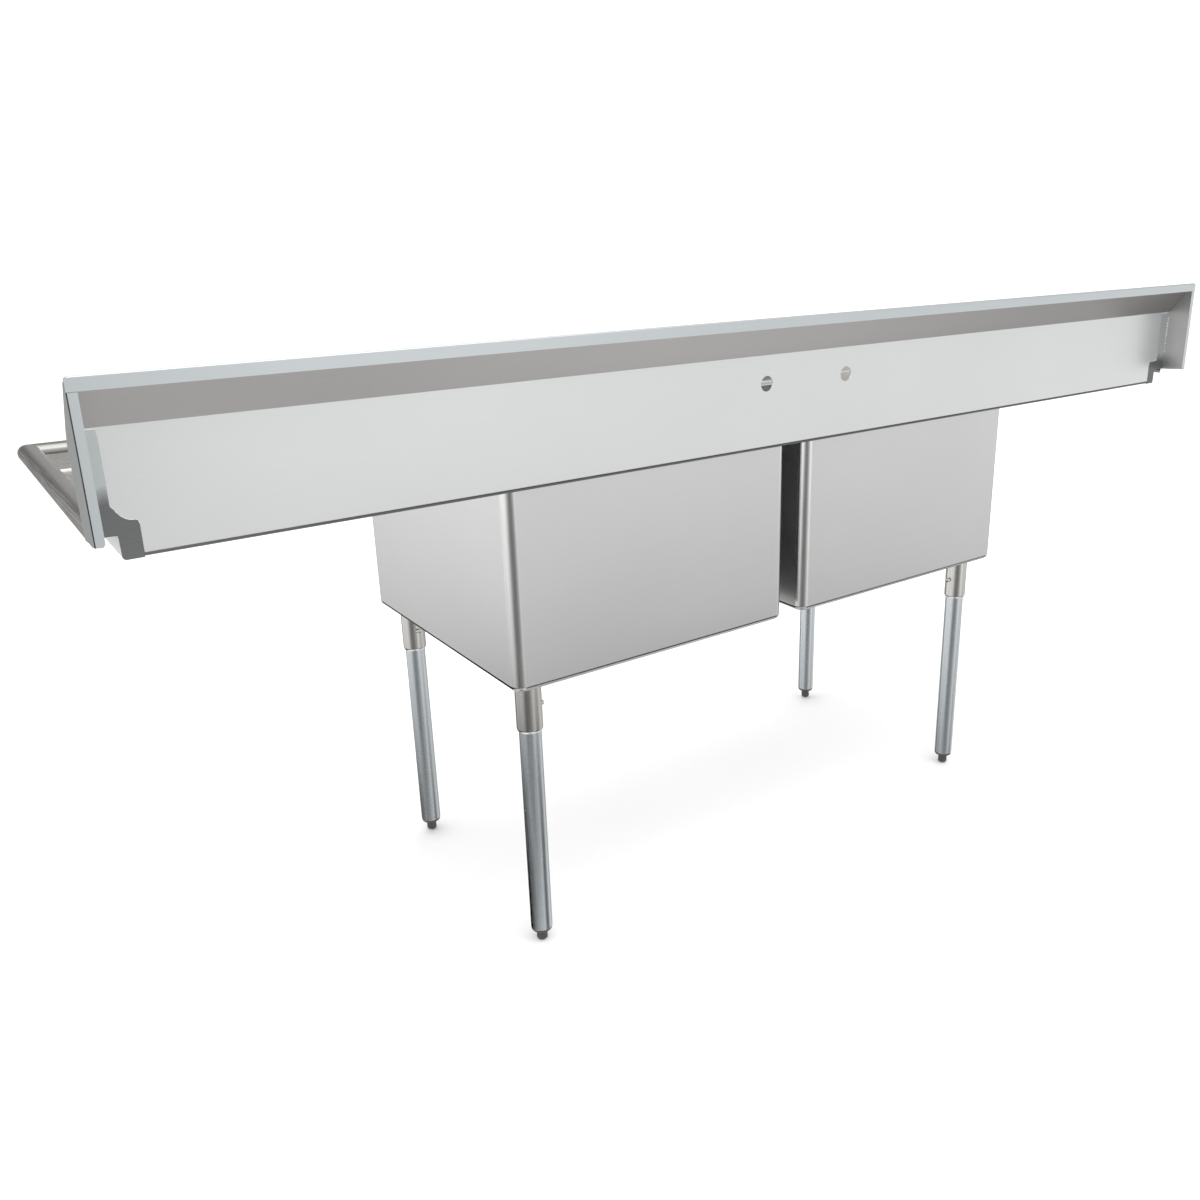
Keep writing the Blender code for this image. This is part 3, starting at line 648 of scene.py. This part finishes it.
def bowls():
    half, corner, cove, floor = BOWL / 2 - T, BOWL_R - T, BOWL_COVE - T, BOWL_Z + T
    rings = [(square_ring(BOWL / 2 + FLANGE, 0.04), Z_DECK)]
    for out, z in arc(BOWL_LIP, Z_DECK - BOWL_LIP, BOWL_LIP, 90, 180, 5):
        rings.append((square_ring(half + out, corner + out), z))
    rings += [(square_ring(half, corner), z) for z in (33.0, 28.5, 24.0)]
    for inset, z in arc(cove, floor + cove, cove, 180, 270, 8):
        rings.append((square_ring(half - inset, corner - inset), z))
    # the floor: flat at the walls, then down to the drain's seat; (radius, share of the fall)
    for r, share in ((8.0, 0), (5.0, 0.5), (2.6, 0.9), (2.45, 0.97), (2.35, 1), (1.78, 1)):
        rings.append((round_ring(r), floor - PITCH * share))
    on_bend, on_cove, on_gap_wall = 1, 2, 3
    for side, s in SIDES:
        bm = bmesh.new()
        loft(bm, [[at(s * BOWL_CX + x, BOWL_CW + w, z) for x, w in ring] for ring, z in rings], ring=True)
        obj = add("bowl_shell_" + side, bm, [BOWL_STEEL, BEND, COVE_SHADE, GAP_WALL_SHADE],
                  stands_for=["bowl_" + side], flip=False)
        settle(obj, thickness=T, edge=0.004)
        # the drawn corners are polished brighter than the flat sides; the coves below are painted dark as a
        # shade line, and the walls that face each other are painted darker low down, as shade in the gap
        for face in obj.data.polygons:
            if max(abs(v) for v in face.normal) < 0.996:
                face.material_index = on_cove if face.normal.z < -0.15 else on_bend
            elif face.normal.x * s < -0.9 and face.center.x * s < BOWL_CX * IN:
                face.material_index = on_gap_wall


# ---------------------------------------------------------------------------- drains
def drains():
    """Strainer bodies and lift-out baskets, and materials for the CAD nodes that stay."""
    seat = BOWL_Z - PITCH + T
    body = [(2.2, seat + GAP)] + arc(2.15, seat + 0.03, 0.05, 0, 90, 4) + [(1.74, seat + 0.078)]
    body += arc(1.74, seat - 0.03, 0.108, 90, 180, 4)[1:] + [(1.63, 20.2)] + arc(1.57, 20.16, 0.06, 0, -90, 3)
    body += [(1.06, 20.1), (1.03, 20.05), (1.03, 19.62), (0.95, 19.54), (0.62, 19.5), (0.62, 18.6), (0.75, 18.6),
             (0.75, 19.36), (1.1, 19.42), (1.16, 19.5), (1.16, 19.95), (1.66, 20.0), (1.72, 20.06)]
    # rolled threads below the locknut's place
    for i in range(7):
        z = 20.12 + i * 0.1
        body += [(1.695, z), (1.72, z + 0.05)]
    body += [(1.72, seat + GAP)]
    cup = [(0.0, 20.15), (1.13, 20.15), (1.18, 20.2), (1.5, 21.16), (1.57, 21.2), (1.585, 21.225), (1.57, 21.25),
           (1.48, 21.25), (1.44, 21.2), (1.12, 20.26), (1.06, 20.2), (0.12, 20.2), (0.12, 20.82), (0.24, 20.9),
           (0.275, 21.0), (0.24, 21.1), (0.12, 21.16), (0.0, 21.17)]
    for side, s in SIDES:
        x = s * BOWL_CX
        spot = Matrix.Translation(at(x, BOWL_CW, 0.0))
        bm = bmesh.new()
        revolve(bm, body, 64, spot)
        obj = add("strainer_" + side, bm, [DRAIN], stands_for=["strainer_body_" + side])
        settle(obj, edge=0)
        bm = bmesh.new()
        revolve(bm, cup, 64, spot, closed=False)
        obj = add("basket_cup_" + side, bm, [DRAIN], body="basket_" + side,
                  stands_for=["basket_" + side])
        bm = bmesh.new()
        for r, n in ((0.34, 6), (0.60, 12), (0.86, 18)):
            for i in range(n):
                a = 2 * math.pi * (i + 0.5) / n
                hole = Matrix.Translation(at(x + r * math.cos(a), BOWL_CW + r * math.sin(a), 20.2))
                drill(bm, 0.075, 0.4, 12, hole)
        settle(obj, edge=0, cutter=tool(bm))
    for node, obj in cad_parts.items():
        mat = {"drain_gasket": RUBBER, "locknut": BRASS, "slip_nut": BRASS, "tailpiece": BRASS,
               "centre_bridge": DECK}.get(node.replace("_left", "").replace("_right", ""))
        if mat:
            for place in obj.material_slots:
                place.material = mat


# ------------------------------------------------------------------------------ legs
def legs():
    """Gusset, socket with its set screw and weld, tube, collar and foot for each of the four legs."""
    for depth in ("rear", "front"):
        for side, s in SIDES:
            tag = depth + "_" + side
            x, w = middle("leg_" + tag)
            spot = Matrix.Translation(at(x, w, 0.0))
            (px0, pw0, pz0), (px1, pw1, pz1) = span("gusset_" + tag)
            c = 0.3                # radius of the plate's corners
            outline = []
            for cx, cw, a in ((px1 - c, pw1 - c, 0), (px0 + c, pw1 - c, 90), (px0 + c, pw0 + c, 180),
                              (px1 - c, pw0 + c, 270)):
                outline += arc(cx, cw, c, a, a + 90, 8)
            bm = bmesh.new()
            slab(bm, [at(a, b, pz0) for a, b in outline], Vector((0, 0, (pz1 - pz0) * IN)))
            settle(add("gusset_plate_" + tag, bm, [PLATE], stands_for=["gusset_" + tag]), edge=0.02)

            top = pz0 - GAP
            sleeve = [(0.83, 17.58), (0.87, 17.58), (0.93, 17.68), (0.945, 17.73), (0.95, 17.80), (0.95, top),
                      (0.83, top)]
            bm = bmesh.new()
            revolve(bm, sleeve, 64, spot)
            obj = add("socket_sleeve_" + tag, bm, [TURNED], stands_for=["socket_" + tag])
            turn, axis = (-90 * s, "Y") if depth == "rear" else (-90, "X")
            screw_at = Matrix.Translation(at(x, w, Z_SCREW)) @ Matrix.Rotation(math.radians(turn), 4, axis)
            bm = bmesh.new()
            drill(bm, 0.135, 0.4, 24, screw_at @ Matrix.Translation((0, 0, 0.9 * IN)))
            settle(obj, edge=0.008, cutter=tool(bm))
            bm = bmesh.new()
            revolve(bm, [(0.0, 0.826), (0.1, 0.826), (0.12, 0.85), (0.12, 0.955), (0.19, 0.965), (0.205, 0.985),
                         (0.205, 1.1), (0.17, 1.17), (0.09, 1.19), (0.0, 1.19)], 24, screw_at, closed=False)
            obj = add("set_screw_head_" + tag, bm, [SCREW], stands_for=["set_screw_" + tag])
            bm = bmesh.new()
            drill(bm, 0.07, 0.2, 6, screw_at @ Matrix.Translation((0, 0, 1.2 * IN)))
            settle(obj, edge=0.006, cutter=tool(bm))
            bm = bmesh.new()
            bead(bm, [at(x + 0.965 * math.cos(a), w + 0.965 * math.sin(a), top - 0.01)
                      for a in (2 * math.pi * i / 48 for i in range(48))], 0.042, 0.16, 0.11, closed=True)
            settle(add("socket_weld_" + tag, bm, [WELD]), edge=0, angle=60)

            low, high = span("leg_" + tag)
            r, z0, z1 = (high[0] - low[0]) / 2, low[2], high[2]
            bm = bmesh.new()
            revolve(bm, [(r - 0.065, z0), (r - 0.025, z0), (r - 0.007, z0 + 0.007), (r, z0 + 0.025), (r, 8.0),
                         (r, 15.0), (r, z1), (r - 0.065, z1)], 64, spot)
            settle(add("leg_tube_" + tag, bm, [ZINC], stands_for=["leg_" + tag]), edge=0)

            bm = bmesh.new()
            rim_top = z0 - GAP
            revolve(bm, [(0.265, 0.9), (0.5, 0.88)] + arc(0.62, 1.05, 0.17, -90, 0, 6) + [(0.79, rim_top),
                    (0.72, rim_top), (0.72, 2.3), (0.265, 2.3)], 48, spot)
            settle(add("collar_" + tag, bm, [PLASTIC], stands_for=["foot_collar_" + tag]), edge=0.006)
            bm = bmesh.new()
            revolve(bm, [(0.0, 0.0), (0.28, 0.0), (0.31, 0.012), (0.40, 0.11), (0.41, 0.14), (0.41, 0.83),
                         (0.39, 0.865), (0.25, 0.865), (0.25, 2.55), (0.2, 2.6), (0.0, 2.6)], 48, spot,
                    closed=False)
            obj = add("foot_tip_" + tag, bm, [PLASTIC], body="foot_" + tag,
                      stands_for=["foot_" + tag])
            settle(obj, edge=0.006)


# ----------------------------------------------------------------- stage and camera
def flat_material(name, colour, roughness):
    mat, _, _, bsdf = tree(name)
    bsdf.inputs["Base Color"].default_value = (*colour, 1)
    bsdf.inputs["Roughness"].default_value = roughness
    return mat


def softbox(name, place, aim, size, watts):
    data = bpy.data.lights.new(name, "AREA")
    data.shape, data.size, data.size_y, data.energy = "RECTANGLE", size[0], size[1], watts
    obj = bpy.data.objects.new(name, data)
    obj.location = place
    obj.rotation_euler = (Vector(aim) - Vector(place)).to_track_quat("-Z", "Y").to_euler()
    bpy.context.scene.collection.objects.link(obj)


def stage():
    bm = bmesh.new()
    bmesh.ops.create_grid(bm, x_segments=1, y_segments=1, size=60.0)
    floor = made_object("floor", bm, [flat_material("floor_paint", (0.90, 0.90, 0.90), 0.6)])
    floor.location.z = -0.0005          # just below the feet, so that they don't share a face with it
    floor.visible_glossy = False        # the steel mirrors the darker studio below instead
    studio()
    softbox("overhead", (0.4, 0.6, 4.0), (0, 0, 0.8), (4.0, 3.0), 50)
    bpy.context.scene.view_settings.view_transform = "Standard"


# brightness of the studio as steel mirrors it: (degrees, value), round from +x towards +y and up from below.
# Each ROUND is multiplied by its RISE, and the four products are added.
ROUND = ((-180, 0.60), (-150, 0.62), (-120, 0.62), (-98, 0.58), (-88, 0.42), (-80, 0.24), (-75, 0.36), (-70, 1.08),
         (-62, 1.30), (-50, 1.38), (-38, 1.25), (-20, 1.30), (-8, 1.35), (5, 1.25), (20, 0.90), (33, 0.50), (47, 0.28),
         (62, 0.28), (74, 0.42), (88, 0.72), (98, 1.06), (106, 1.22), (126, 0.98), (144, 0.90), (158, 1.04),
         (168, 0.80), (180, 0.60))
RISE = ((-90, 1.05), (-70, 1.05), (-58, 1.00), (-46, 0.66), (-39, 0.10), (-31, 0.10), (-26, 0.48), (-22, 0.66),
        (-15, 0.93), (-8, 1.18), (0, 1.10), (10, 0.92), (25, 0.95), (45, 1.25), (70, 1.2), (90, 1.0))
# the pale floor, which the lower ends of the legs and the underside of the backsplash mirror
ROUND_LOW = ((-180, 0.40), (-150, 0.40), (-125, 0.22), (-113, 0.85), (-98, 0.85), (-87, 0.10), (-70, 0.0),
             (-40, 0.05), (0, 0.20), (20, 0.48), (60, 0.66), (100, 0.60), (116, 0.15), (126, 0.0), (146, 0.0),
             (158, 0.45), (180, 0.40))
RISE_LOW = ((-90, 0.0), (-66, 0.4), (-52, 1.3), (-43, 1.45), (-37, 1.05), (-33, 0.68), (-28, 0.42), (-22, 0.22),
            (-16, 0.0), (90, 0.0))
# the floor towards the left end, which the sloping return mirrors
ROUND_BACK = ((-180, 0.36), (-160, 0.15), (-145, 0.0), (150, 0.0), (165, 0.15), (180, 0.36))
RISE_BACK = ((-90, 0.0), (-66, 0.0), (-54, 0.0), (-46, 0.3), (-38, 1.2), (-28, 1.1), (-22, 0.4), (-14, 0.0), (90, 0.0))
# a pale side near the horizon, which lights the recess at the far end
ROUND_END = ((-180, 0.0), (6, 0.0), (16, 0.6), (40, 0.6), (52, 0.0), (180, 0.0))
RISE_END = ((-90, 0.0), (-16, 0.0), (-10, 0.8), (-2, 1.1), (8, 0.6), (16, 0.0), (90, 0.0))


def studio():
    """White surroundings, and for mirror reflections a room with dark and bright sides."""
    world = bpy.data.worlds.new("studio")
    bpy.context.scene.world = world
    world.use_nodes = True
    world.cycles.sampling_method = "NONE"
    nodes, links = world.node_tree.nodes, world.node_tree.links
    white, room = nodes["Background"], nodes.new("ShaderNodeBackground")
    white.inputs["Color"].default_value = (1.0, 1.0, 1.0, 1)
    white.inputs["Strength"].default_value = 1.60
    coord = nodes.new("ShaderNodeTexCoord")
    round_tex = nodes.new("ShaderNodeTexGradient")
    round_tex.gradient_type = "RADIAL"
    links.new(coord.outputs["Generated"], round_tex.inputs["Vector"])
    split = nodes.new("ShaderNodeSeparateXYZ")
    links.new(coord.outputs["Generated"], split.inputs["Vector"])
    height = nodes.new("ShaderNodeMapRange")
    height.inputs["From Min"].default_value, height.inputs["From Max"].default_value = -1.0, 1.0
    links.new(split.outputs["Z"], height.inputs["Value"])
    peak = 1.5              # a curve node goes from 0 to 1, so the tables are divided by this

    def curve_of(value, stops):
        curve = nodes.new("ShaderNodeFloatCurve")
        points = curve.mapping.curves[0].points
        points[0].location, points[1].location = (stops[0][0], stops[0][1] / peak), (stops[-1][0], stops[-1][1] / peak)
        for place, v in stops[1:-1]:
            points.new(place, v / peak)
        curve.mapping.update()
        links.new(value, curve.inputs["Value"])
        return curve.outputs["Value"]

    total = None
    for around, up in ((ROUND, RISE), (ROUND_LOW, RISE_LOW), (ROUND_BACK, RISE_BACK), (ROUND_END, RISE_END)):
        product, scale, plus = (nodes.new("ShaderNodeMath") for _ in range(3))
        product.operation = scale.operation = "MULTIPLY"
        plus.operation = "ADD"
        plus.inputs[1].default_value = 0.0
        scale.inputs[1].default_value = peak * peak
        links.new(curve_of(round_tex.outputs["Fac"], [(a / 360 + 0.5, v) for a, v in around]), product.inputs[0])
        links.new(curve_of(height.outputs["Result"], [(math.sin(math.radians(a)) / 2 + 0.5, v) for a, v in up]),
                  product.inputs[1])
        links.new(product.outputs[0], scale.inputs[0])
        links.new(scale.outputs[0], plus.inputs[0])
        if total:
            links.new(total, plus.inputs[1])
        total = plus.outputs[0]
    links.new(total, room.inputs["Strength"])
    room.inputs["Color"].default_value = (1.0, 0.995, 0.985, 1)
    ray = nodes.new("ShaderNodeLightPath")
    pick = nodes.new("ShaderNodeMixShader")
    links.new(ray.outputs["Is Glossy Ray"], pick.inputs["Fac"])
    links.new(white.outputs[0], pick.inputs[1])
    links.new(room.outputs[0], pick.inputs[2])
    links.new(pick.outputs[0], nodes["World Output"].inputs["Surface"])


def camera():
    """Camera of the reference view: high behind the sink's right end."""
    data = bpy.data.cameras.new("camera")
    data.sensor_width = 36.0
    data.lens, data.shift_x, data.shift_y = 32.118, -0.0500, -0.0187
    obj = bpy.data.objects.new("camera", data)
    right, down, ahead = (-0.8075, 0.5896, -0.0162), (0.1966, 0.2431, -0.9499), (-0.5561, -0.7703, -0.3122)
    axes = Matrix((right, [-v for v in down], [-v for v in ahead])).transposed()
    obj.matrix_world = Matrix.Translation((1.42132, 1.80762, 1.30843)) @ axes.to_4x4()
    bpy.context.scene.collection.objects.link(obj)
    bpy.context.scene.camera = obj


splash()
end_caps()
corner_plates()
drainboards()
apron()
rims()
bowls()
drains()
legs()
stage()
camera()
